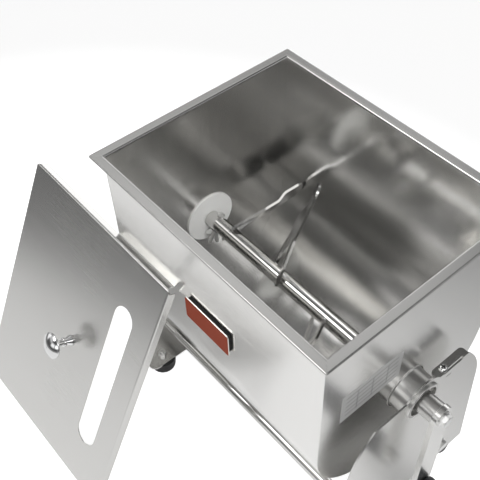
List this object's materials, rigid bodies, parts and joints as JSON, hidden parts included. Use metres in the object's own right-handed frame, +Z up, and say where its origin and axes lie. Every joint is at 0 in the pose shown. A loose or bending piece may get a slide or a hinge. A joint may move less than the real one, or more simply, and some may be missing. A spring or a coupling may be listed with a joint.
{
  "type": "manual meat mixer",
  "caption": "Hand-cranked meat mixer: U-shaped steel tank tilting between two stand plates, paddle shaft, loose lid with a pouring slot.",
  "frame": {"origin": "centre of the footprint of the whole set (mixer and leaned lid), on the floor under the feet", "axes": "+X along the paddle shaft towards the crank, +Z up, -Y towards the wall with the name plate"},
  "size_m": [0.6242, 0.4228, 0.416],
  "materials": {
    "tank_steel": "brushed stainless, satin",
    "rim_steel": "polished stainless hem",
    "lid_steel": "brushed stainless, grain across the lid",
    "stand_steel": "brushed stainless",
    "turned_steel": "turned and polished stainless",
    "agitator_steel": "polished stainless",
    "chromed_knob": "chrome plated",
    "white_nylon": "white nylon",
    "foot_rubber": "black rubber",
    "black_plastic": "black moulded plastic",
    "fastener_steel": "bright stainless fasteners",
    "copper_plate": "copper-brown anodised, bare",
    "foam_tape": "black foam tape",
    "silver_label": "silver foil, ruled, no lettering"
  },
  "bodies": {
    "stand": {"stand_plate_left": "stand_steel", "stand_plate_right": "stand_steel", "tab_screw_left": "fastener_steel", "tab_screw_right": "fastener_steel", "tie_rod_front": "turned_steel", "tie_rod_rear": "turned_steel", "rod_bolts": "fastener_steel", "foot_front_left": "foot_rubber", "foot_front_right": "foot_rubber", "foot_rear_left": "foot_rubber", "foot_rear_right": "foot_rubber", "foot_studs": "fastener_steel", "plunger_sleeve": "turned_steel"},
    "tank": {"tank_trough": "tank_steel", "rim_front": "rim_steel", "rim_right": "rim_steel", "rim_rear": "rim_steel", "rim_left": "rim_steel", "end_plate_left": "tank_steel", "end_plate_right": "tank_steel", "hub_left": "turned_steel", "hub_right": "turned_steel", "bearing_left": "white_nylon", "bearing_right": "white_nylon", "plunger_keeper": "turned_steel", "name_plate": "copper_plate", "plate_tape": "foam_tape", "rating_label": "silver_label"},
    "agitator": {"shaft_tube": "agitator_steel", "idler_stub": "turned_steel", "drive_stub": "turned_steel", "drive_pin": "fastener_steel", "cross_bolt": "fastener_steel", "blade_far_left": "agitator_steel", "blade_mid_left": "agitator_steel", "blade_mid_right": "agitator_steel", "blade_far_right": "agitator_steel", "crank_boss": "turned_steel", "crank_arm": "agitator_steel", "crank_bolt": "fastener_steel", "grip_bolt": "fastener_steel"},
    "grip": {"grip": "black_plastic"},
    "wing_nut": {"wing_nut": "fastener_steel"},
    "lid": {"lid_panel": "lid_steel", "lid_knob": "chromed_knob", "knob_screw": "fastener_steel"},
    "plunger": {"plunger_pin": "turned_steel", "plunger_knob": "black_plastic"}
  },
  "joints": [
    {"name": "tank_tilt", "type": "hinge", "parent": "stand", "child": "tank", "pos_m": [0.0079, 0.0744, 0.2395], "axis": [1, 0, 0], "range_deg": [-100, 0]},
    {"name": "shaft_spin", "type": "hinge", "parent": "tank", "child": "agitator", "pos_m": [0.0079, 0.0744, 0.2395], "axis": [1, 0, 0], "continuous": true},
    {"name": "grip_spin", "type": "hinge", "parent": "agitator", "child": "grip", "pos_m": [0.2659, 0.0744, 0.0895], "axis": [1, 0, 0], "continuous": true},
    {"name": "wing_nut_turn", "type": "hinge", "parent": "agitator", "child": "wing_nut", "pos_m": [-0.1361, 0.0744, 0.2395], "axis": [0, -0.5, -0.866], "continuous": true},
    {"name": "lid_lift", "type": "slide", "parent": "stand", "child": "lid", "axis": [0, -0.8926, 0.4509], "range_m": [0, 0.2]},
    {"name": "plunger_slide", "type": "slide", "parent": "stand", "child": "plunger", "axis": [1, 0, 0], "range_m": [0, 0.008]}
  ]
}
